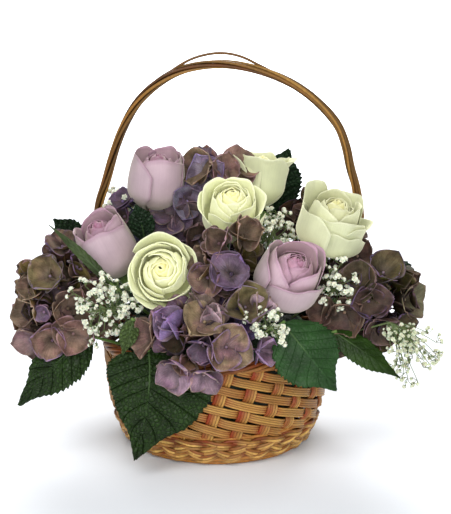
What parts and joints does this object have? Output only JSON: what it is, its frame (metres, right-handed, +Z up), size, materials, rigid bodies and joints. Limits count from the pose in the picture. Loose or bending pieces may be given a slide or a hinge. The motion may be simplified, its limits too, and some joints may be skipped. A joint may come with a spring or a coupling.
{
  "type": "flower basket arrangement",
  "caption": "Round woven cane basket with an arched handle, filled with lavender and white roses, dusky hydrangea heads, baby's breath and serrated leaves.",
  "frame": {"origin": "middle of the bounding box's footprint, on the surface the basket stands on", "axes": "+Z up, -Y towards the front of the arrangement, +X to the right along the handle's arch, which is also the longest side"},
  "size_m": [0.4164, 0.278, 0.391],
  "materials": {
    "cane": "satin, split cane with dark dyed recesses",
    "handle_cane": "satin, twisted whole canes",
    "liner": "matte plastic film",
    "foam": "matte, wet floral foam",
    "stem": "satin, green stem and calyx",
    "leaf": "semi-gloss leaf with a net of veins",
    "young_leaf": "satin young leaf",
    "rose_white": "velvety petal, cream white",
    "rose_lavender": "velvety petal, dusty lavender",
    "hydrangea_mauve": "matte petal, mauve with blue and green",
    "hydrangea_olive": "matte petal, olive and taupe flushed mauve",
    "hydrangea_lilac": "matte petal, lilac",
    "baby_breath": "matte white flowers on fine green twigs"
  },
  "bodies": {
    "root": {"basket_wall": "cane", "foot_braid": "cane", "rim_braid": "cane", "handle": "handle_cane", "handle_loose_cane": "handle_cane", "liner": "liner", "foam": "foam", "rose_lavender_top": "rose_lavender", "rose_lavender_top_stem": "stem", "rose_lavender_left": "rose_lavender", "rose_lavender_left_stem": "stem", "rose_lavender_front": "rose_lavender", "rose_lavender_front_stem": "stem", "rose_white_middle": "rose_white", "rose_white_middle_stem": "stem", "rose_white_back": "rose_white", "rose_white_back_stem": "stem", "rose_white_right": "rose_white", "rose_white_right_stem": "stem", "rose_white_front": "rose_white", "rose_white_front_stem": "stem", "hydrangea_left": "hydrangea_olive", "hydrangea_left_stem": "stem", "hydrangea_top": "hydrangea_mauve", "hydrangea_top_stem": "stem", "hydrangea_front": "hydrangea_lilac", "hydrangea_front_stem": "stem", "hydrangea_right": "hydrangea_olive", "hydrangea_right_stem": "stem", "hydrangea_middle": "hydrangea_mauve", "hydrangea_middle_stem": "stem", "hydrangea_under_rose": "hydrangea_mauve", "hydrangea_under_rose_stem": "stem", "hydrangea_back_left": "hydrangea_mauve", "hydrangea_back_left_stem": "stem", "hydrangea_back_right": "hydrangea_olive", "hydrangea_back_right_stem": "stem", "hydrangea_back": "hydrangea_lilac", "hydrangea_back_stem": "stem", "leaf_front_left": "leaf", "leaf_low_left": "leaf", "leaf_front_right": "leaf", "leaf_right_narrow": "leaf", "leaf_back_top": "leaf", "leaf_far_left": "leaf", "leaf_spear_left": "leaf", "leaf_middle": "leaf", "leaf_far_right": "leaf", "leaf_small_front": "young_leaf", "leaf_back_left": "leaf", "leaf_back_right": "leaf", "leaf_back_low": "leaf", "spray_left": "baby_breath", "spray_top": "baby_breath", "spray_right": "baby_breath", "spray_far_right": "baby_breath", "spray_front": "baby_breath", "spray_top_left": "baby_breath", "spray_back": "baby_breath", "spray_back_left": "baby_breath"}
  },
  "joints": []
}
